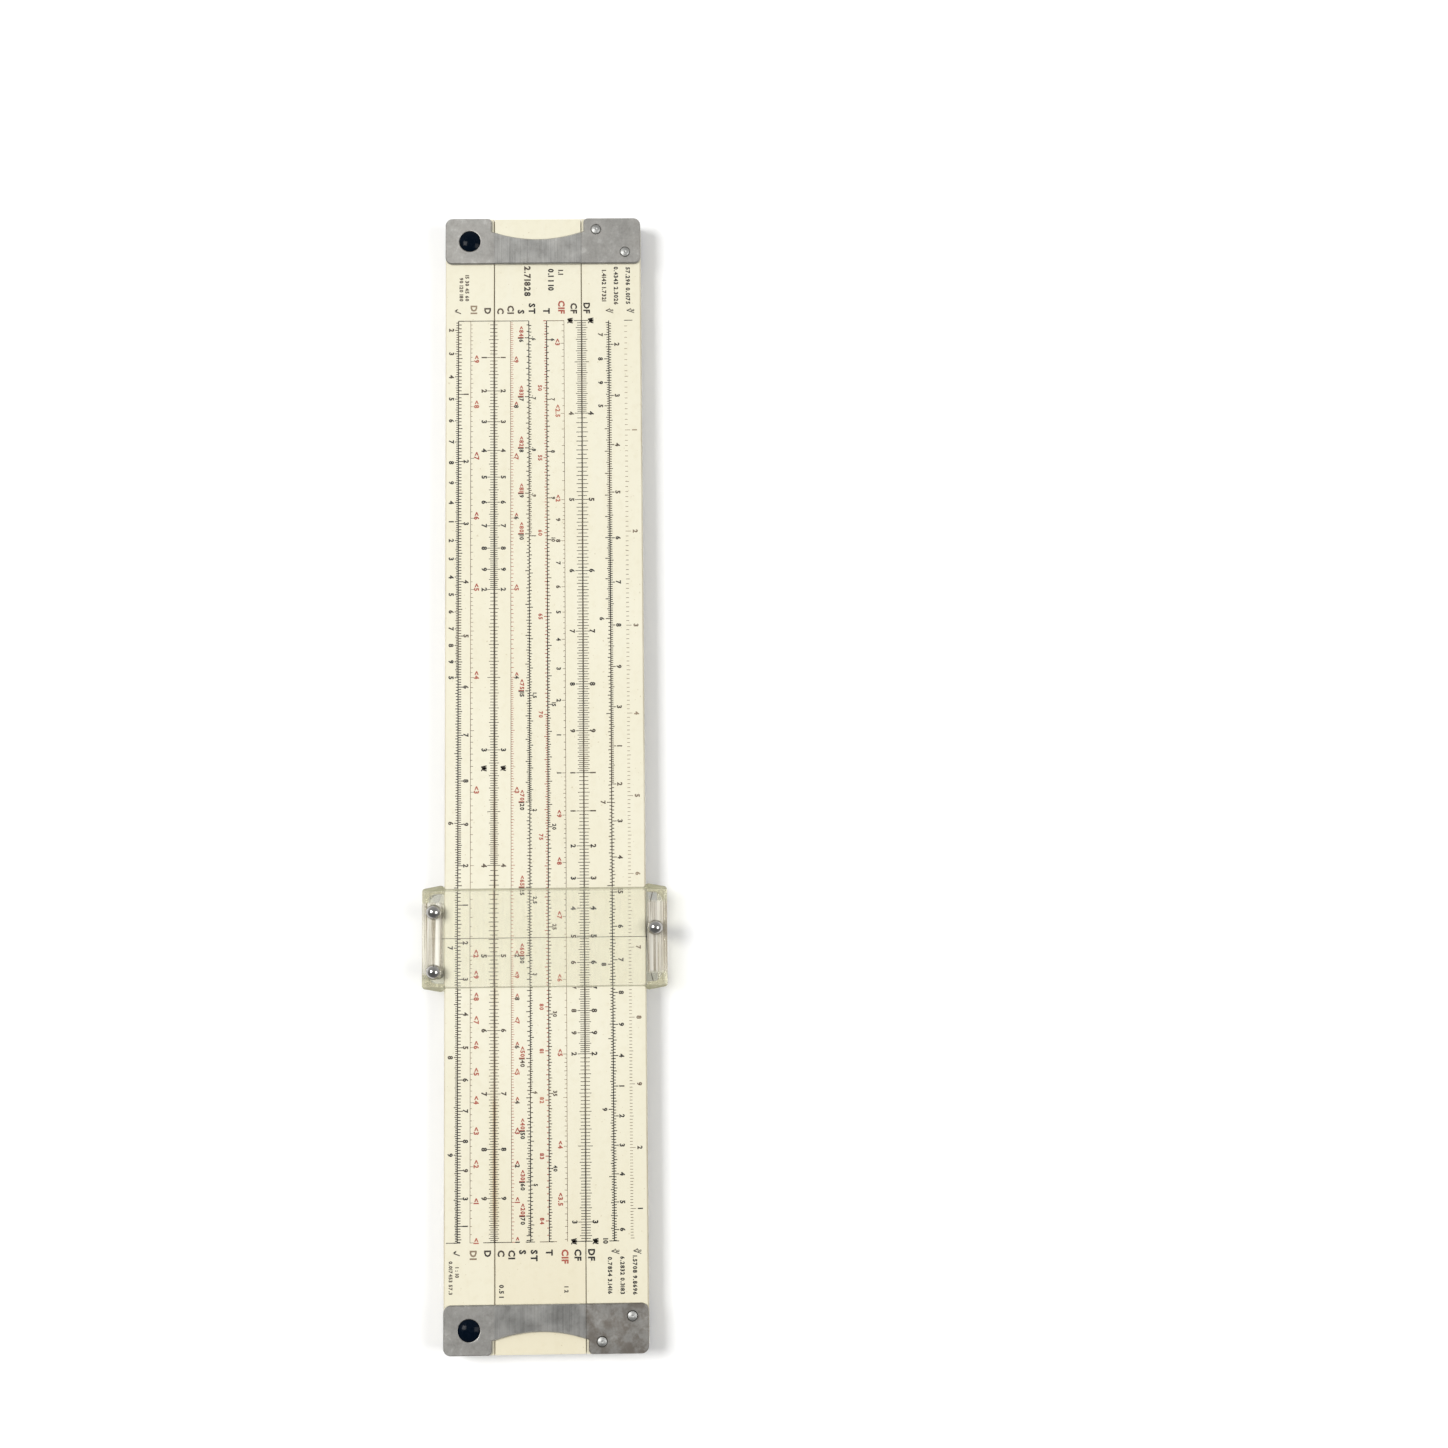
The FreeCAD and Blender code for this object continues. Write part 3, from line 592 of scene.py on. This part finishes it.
# Slide: C, CI, sines, small angles, the two ranges of tangents, CIF, and CF along the seam
CI, SINES_LINE, TANGENTS_LINE, CIF = -9.1, -4.05, 0.88, 5.68
slide.line(SEAM_D + 0.12, SEAM)
ruled(slide, C_PLACE, DECADE, SEAM_D + 0.1, (0.8, 1.1, 1.5), FINE)
numbered(slide, C_PLACE, NUMBERS[1:], -11.05, 1.4, figure)
slide.text(PI, C_PLACE(math.pi), -10.9, 2.0)
slide_brown.line(CI, THIN)
ruled(slide_red, CI_PLACE, DECADE, CI, (0.6, 0.8, 1.0), THIN)
numbered(slide_red, CI_PLACE, NUMBERS, -7.45, 1.25, lambda value: "<", 1.5)
numbered(slide, CI_PLACE, NUMBERS[::2], -7.45, 1.25, figure)
numbered(slide_red, CI_PLACE, NUMBERS[1::2], -7.45, 1.25, figure)
slide.line(SINES_LINE, 0.24)
ruled(slide, SINE, SINES, SINES_LINE, (-0.6, -0.85, -1.1))
numbered(slide_red, SINE, SINE_NUMBERS, -6.05, 1.2, lambda value: f"<{90 - value}|", 1.0)
numbered(slide, SINE, SINE_NUMBERS, -6.05, 1.2, lambda value: f"|{value}", 0.0)
ruled(slide, SMALL_ANGLE, SMALL_ANGLES, SINES_LINE, (0.5, 0.7, 0.95))
numbered(slide, SMALL_ANGLE, (0.6, 0.7, 0.8, 0.9, 1, 1.5, 2, 2.5, 3, 4, 5), -2.6, 1.05,
         lambda value: f"{value:g}".lstrip("0"))
slide.line(TANGENTS_LINE, MAIN)
ruled(slide, TANGENT, TANGENTS, TANGENTS_LINE, (0.6, 0.85, 1.1))
numbered(slide, TANGENT, TANGENT_NUMBERS[:-1], 2.6, 1.1)
ruled(slide_red, STEEP_TANGENT, STEEP, TANGENTS_LINE, (-0.55, -0.75, -0.95))
numbered(slide_red, STEEP_TANGENT, (50, 55, 60, 65, 70, 75, 80, 81, 82, 83, 84), -0.95, 1.15)
slide_brown.line(CIF, THIN)
ruled(slide_brown, CIF_PLACE, INVERSE[:2] + ((5, 9.9, 0.1, 5, 10),), CIF, (-0.5, -0.7, -0.95),
      THIN)
numbered(slide, CIF_PLACE, tenths(1, 1.9), 3.95, 1.25, figure)
numbered(slide_red, CIF_PLACE, NUMBERS[10:] + [2.5, 3.5], 3.95, 1.3,
         lambda value: f"<{value:g}", 0.7)
slide.line(SEAM_DF - 0.1, FAINT)
ruled(slide, CF_PLACE, DECADE, SEAM_DF - 0.1, (-1.2, -1.55, -1.95), FINE)
numbered(slide, CF_PLACE, NUMBERS, 7.7, 1.4, figure)

# Upper stator: DF along the seam, then cube roots in three sections
CUBES = 18.05
stock.line(SEAM_DF + 0.1, FAINT)
ruled(stock, CF_PLACE, DECADE, SEAM_DF + 0.1, (1.1, 1.45, 1.8), FINE)
numbered(stock, CF_PLACE, NUMBERS, 13.15, 1.5, figure)
stock.line(CUBES, MAIN)
ruled(stock, log_place(3, -2), CUBE_3, CUBES, (-0.6, -0.85, -1.3))
numbered(stock, log_place(3, -2), tenths(4.7, 5) + [6, 7, 8, 9, 10], 15.8, 1.35, figure)
ruled(stock, log_place(3, -1), CUBE_2, CUBES, (0.65, 0.9, 1.3))
numbered(stock, log_place(3, -1), tenths(2.2, 4.6), 20.35, 1.4, figure)
ruled(stock_brown, log_place(3), CUBE_1, 22.35, (0.75, 1.0, 1.45), THIN)
numbered(stock_brown, log_place(3), tenths(1.1, 1.9), 25.05, 1.35, figure)
numbered(stock, log_place(3), (2, 2.1), 25.05, 1.35, figure)

# Index lines and the scales' names at both ends
for u, spans in ((SCALE_START, ((stock, -23.4, SEAM_D), (slide, SEAM_D, -4.0),
                                (slide_brown, 0.9, 5.7), (slide, 8.4, SEAM_DF),
                                (stock, SEAM_DF, 12.3), (stock, 22.3, 24.6))),
                 (-SCALE_START, ((stock, -26.4, -22.6), (stock, -16.6, SEAM_D),
                                 (slide, SEAM_D, -8.9), (slide, -5.4, -2.9),
                                 (slide_brown, -1.6, 2.9), (slide, 8.0, SEAM_DF),
                                 (stock, SEAM_DF, 12.3), (stock, 17.3, 19.3)))):
    for marks, v0, v1 in spans:
        marks.tick(u, v0, v1, INDEX)
    slide.text(PI, u, 7.7, 2.1)
    stock.text(PI, u, 13.4, 2.1)
for marks, words, v in (
        (stock, ROOT, -23.6), (stock_brown, "DI", -19.1), (stock, "D", -15.3),
        (slide, "C", -11.75), (slide, "CI", -8.95), (slide, "S", -6.1), (slide, "ST", -3.05),
        (slide, "T", 0.95), (slide_red, "CIF", 5.1), (slide, "CF", 8.5), (stock, "DF", 12.1),
        (stock, CUBE_ROOT, 18.2), (stock, CUBE_ROOT, 24.0)):
    named(marks, words, v)

# Small tables of constants beside the brackets
for words, u, v, size in (
        ("1.4142 1.7321", -134.9, 16.9, 1.2), ("0.4343 2.3026", -134.9, 20.2, 1.2),
        ("57.296 0.0175", -134.9, 23.5, 1.2), ("0.7854 3.1416", 133.9, 16.9, 1.15),
        ("6.2832 0.3183", 133.9, 20.2, 1.15), ("1.5708 9.8696", 133.9, 23.5, 1.15),
        ("15 30 45 60", -134.4, -21.0, 1.05), ("90 120 180", -134.0, -22.6, 1.05),
        ("0.017453 57.3", 134.0, -25.1, 1.0), ("1 : 10", 132.6, -23.4, 1.0)):
    stock.text(words, u, v, size)
for words, u, v, size in (
        ("2.71828", -136.3, -4.3, 1.8), ("0.1 1 10", -136.7, 2.2, 1.6),
        ("1.1", -138.8, 4.9, 1.4), ("0.5 1", 137.6, -11.7, 1.25), ("1 2", 137.4, 5.4, 1.1)):
    slide.text(words, u, v, size)

# ---------------------------------------------------------------- back face

back = mark_sets(False)
(stock, stock_red, stock_brown), (slide, slide_red, slide_brown) = back
TOP_SEAM, LOW_SEAM = -SEAM_D, -SEAM_DF


def power_place(multiple):
    """Where a value stands by the log of its natural log."""
    return lambda value: along(math.log10(multiple * math.log(value)))


LL3, LL2, LL1 = power_place(1), power_place(10), power_place(100)
POWERS_3 = ((2.8, 3.98, 0.02, 5, 10), (4, 5.95, 0.05, 2, 20), (6, 9.9, 0.1, 5, 10),
            (10, 19.5, 0.5, 2, 10), (20, 48, 2, 5, 5), (50, 95, 5, 2, 10), (100, 190, 10, 5, 10),
            (200, 450, 50, 2, 10), (500, 900, 100, 5, 5), (1000, 4500, 500, 2, 10),
            (5000, 20000, 1000, 5, 5))
POWERS_2 = ((1.106, 1.198, 0.002, 5, 5), (1.2, 1.395, 0.005, 2, 20), (1.4, 1.99, 0.01, 5, 10),
            (2, 2.7, 0.02, 5, 25))
POWERS_1 = ((1.0102, 1.0198, 0.0002, 5, 25), (1.02, 1.0495, 0.0005, 2, 10),
            (1.05, 1.105, 0.001, 5, 10))
for name, place, segments, v, values in (
        ("LL1", LL1, POWERS_1, 24.2, (1.015, 1.02, 1.03, 1.04, 1.05, 1.06, 1.07, 1.08, 1.09, 1.1)),
        ("LL2", LL2, POWERS_2, 21.0, (1.15, 1.2, 1.3, 1.4, 1.5, 1.6, 1.7, 1.8, 2, 2.5)),
        ("LL3", LL3, POWERS_3, 17.8, (3, 4, 5, 6, 7, 8, 10, 15, 20, 30, 50, 100, 200, 500,
                                      1000, 5000, 20000))):
    stock.line(v)
    ruled(stock, place, segments, v, (-0.6, -0.85, -1.1))
    numbered(stock, place, values, v + 0.85, 1.15)
    named(stock, name, v)
SQUARE_NUMBERS = [n * m for m in (1, 10) for n in range(1, 10)] + [100]
for marks, way in ((stock, 1), (slide, -1)):
    marks.line(TOP_SEAM + 0.13 * way, SEAM)
    ruled(marks, A_PLACE, SQUARES, TOP_SEAM + 0.1 * way, (0.9 * way, 1.15 * way, 1.45 * way))
    numbered(marks, A_PLACE, SQUARE_NUMBERS, TOP_SEAM + 2.3 * way, 1.3)
    marks.line(LOW_SEAM - 0.13 * way, SEAM)
    ruled(marks, C_PLACE, DECADE, LOW_SEAM - 0.1 * way, (-1.1 * way, -1.4 * way, -1.8 * way))
    numbered(marks, C_PLACE, NUMBERS[1:], LOW_SEAM - 2.8 * way, 1.45, figure)
slide.line(7.3)
ruled(slide, TANGENT, TANGENTS, 7.3, (-0.7, -0.95, -1.25))
numbered(slide, TANGENT, TANGENT_NUMBERS, 8.35, 1.3)
slide.line(3.0)
ruled(slide, SINE, SINES, 3.0, (-0.7, -0.95, -1.25))
numbered(slide, SINE, SINE_NUMBERS, 4.05, 1.3)
slide_red.line(-2.2, THIN)
ruled(slide_red, CI_PLACE, DECADE, -2.2, (-0.75, -1.0, -1.4), THIN)
numbered(slide_red, CI_PLACE, NUMBERS, -1.1, 1.3, figure)
stock_red.line(-16.4, THIN)
ruled(stock_red, CI_PLACE, DECADE, -16.4, (-0.7, -0.95, -1.3), THIN)
numbered(stock_red, CI_PLACE, NUMBERS, -15.35, 1.25, figure)
stock.line(-20.9)
ruled(stock, along, ((0, 1, 0.002, 5, 50),), -20.9, (-0.6, -0.85, -1.25))
numbered(stock, along, tenths(0, 1), -19.85, 1.3)
K_PLACE = log_place(1 / 3)
stock_brown.line(-24.8, THIN)
for m in (1, 10, 100):
    ruled(stock_brown, K_PLACE, ((m, 2.95 * m, 0.05 * m, 2, 20), (3 * m, 5.9 * m, 0.1 * m, 5, 10),
                                 (6 * m, 10 * m, 0.2 * m, 5, 5)), -24.8, (-0.55, -0.8, -1.1), THIN)
    numbered(stock_brown, K_PLACE, [n * m for n in (1, 2, 3, 4, 5, 6, 8)], -23.8, 1.2)
for marks, words, v in ((stock, "A", 15.1), (slide, "B", 11.9), (slide, "T", 7.3),
                        (slide, "S", 3.0), (slide_red, "CI", -2.2), (slide, "C", -8.8),
                        (stock, "D", -12.2), (stock_red, "DI", -16.4), (stock, "L", -20.9),
                        (stock_brown, "K", -24.6)):
    named(marks, words, v)
for u in (SCALE_START, -SCALE_START):
    for marks, v0, v1 in ((stock, TOP_SEAM, 25.0), (slide, 6.0, TOP_SEAM), (slide, LOW_SEAM, 3.0),
                          (stock, -25.8, LOW_SEAM)):
        marks.tick(u, v0, v1, INDEX)
for words, u, v in (("2.7183", 136.0, 24.2), ("0.3679", 136.0, 21.0), ("7.3891", 136.0, 17.8),
                    ("0.1 1 10", -136.6, 21.0)):
    stock.text(words, u, v, 1.05)

for body_marks in (*front, *back):
    for marks in body_marks:
        marks.make()

# ---------------------------------------------------------------- hairlines

HAIR = 0.12
HAIR_GAP = 0.03                         # from each window's inner face
HAIR_REACH = EDGE + 5.2                 # to just inside the wings' ends
for side, level in (("front", WINDOW_FACES[1] - HAIR_GAP), ("back", WINDOW_FACES[0] + HAIR_GAP)):
    hair = Marks(f"hairline_{side}", "cursor", (level, level), side == "front", "black_ink")
    hair.tick(HAIRLINE_X, -HAIR_REACH, HAIR_REACH, HAIR)
    hair.make()

# ---------------------------------------------------------------- floor, light and camera

FLOOR_HALF = 6.0                        # metres from the middle to each side
ROOM_STRENGTH = 0.66
ROOM_OVERHEAD = 0.60                    # against the sides
ROOM_FAR_END = 0.40                     # towards +X, against -X

CAMERA_TARGET = Vector((-13.06, 48.82, 0.0)) * MM
CAMERA_DISTANCE = 0.6
CAMERA_LEAN = math.radians(6.39), math.radians(-1.15)   # of the view from upright, to +X and +Y
CAMERA_ROLL = math.radians(0.694)
CAMERA_ANGLE = math.radians(36.75)


def floor():
    """Plain white sweep that the rule lies on."""
    t = material_tree("floor_white")
    tone = t.ramp(t.noise(3, detail=2), (0.3, (0.945, 0.945, 0.945)), (0.7, (0.955, 0.955, 0.955)))
    material = t.done(t.principled(tone, Roughness=0.9, Specular_IOR_Level=0.0))
    work = bmesh.new()
    bmesh.ops.create_grid(work, x_segments=8, y_segments=8, size=FLOOR_HALF)
    mesh = bpy.data.meshes.new("floor")
    work.to_mesh(mesh)
    work.free()
    mesh.materials.append(material)
    sheet = bpy.data.objects.new("floor", mesh)
    bpy.context.scene.collection.objects.link(sheet)


def softbox(name, place, size, power, colour):
    light = bpy.data.lights.new(name, "AREA")
    light.shape = "RECTANGLE"
    light.size, light.size_y = size
    light.energy = power
    light.color = colour
    lamp = bpy.data.objects.new(name, light)
    lamp.location = place
    lamp.rotation_mode = "QUATERNION"
    lamp.rotation_quaternion = (-Vector(place)).to_track_quat("-Z", "Y")
    bpy.context.scene.collection.objects.link(lamp)


def surroundings():
    """A grey room: paler towards -X and round the sides, darker overhead."""
    world = bpy.data.worlds.new("room")
    bpy.context.scene.world = world
    t = Tree(world, "Generated")
    overhead = t.ramp(t.z, (0.10, (1.0,) * 3), (0.90, (ROOM_OVERHEAD,) * 3))
    along_x = t.math("MULTIPLY_ADD", t.x, 0.5, 0.5)
    far_end = t.ramp(along_x, (0.35, (1.0,) * 3), (0.65, (ROOM_FAR_END,) * 3))
    tone = t.mix(1.0, overhead, far_end, "MULTIPLY")
    background = t.node("ShaderNodeBackground", Color=tone, Strength=ROOM_STRENGTH)
    t.done(background.outputs[0], "ShaderNodeOutputWorld")


floor()
surroundings()
softbox("key", (-0.20, -0.93, 1.43), (0.65, 0.65), 22.2, (1.0, 0.998, 0.992))
softbox("fill", (0.15, 0.90, 1.05), (0.6, 0.6), 7.6, (0.99, 0.995, 1.0))

# The picture's top is towards -X and its right towards +Y
lean = [math.sin(angle) for angle in CAMERA_LEAN]
back_to_camera = Vector((*lean, math.sqrt(1 - lean[0] ** 2 - lean[1] ** 2)))
forward = -back_to_camera
down = Vector((1.0, 0.0, 0.0))
down = (down - forward * down.dot(forward)).normalized()
right = down.cross(forward)
right, down = (right * math.cos(CAMERA_ROLL) + down * math.sin(CAMERA_ROLL),
               down * math.cos(CAMERA_ROLL) - right * math.sin(CAMERA_ROLL))
camera_data = bpy.data.cameras.new("camera")
camera_data.clip_start = 0.02
camera_data.angle = CAMERA_ANGLE
camera = bpy.data.objects.new("camera", camera_data)
axes = Matrix((right, -down, back_to_camera)).transposed().to_4x4()
place = CAMERA_TARGET + back_to_camera * CAMERA_DISTANCE
camera.matrix_world = Matrix.Translation(place) @ axes
bpy.context.scene.collection.objects.link(camera)
bpy.context.scene.camera = camera
bpy.context.scene.view_settings.view_transform = "Standard"
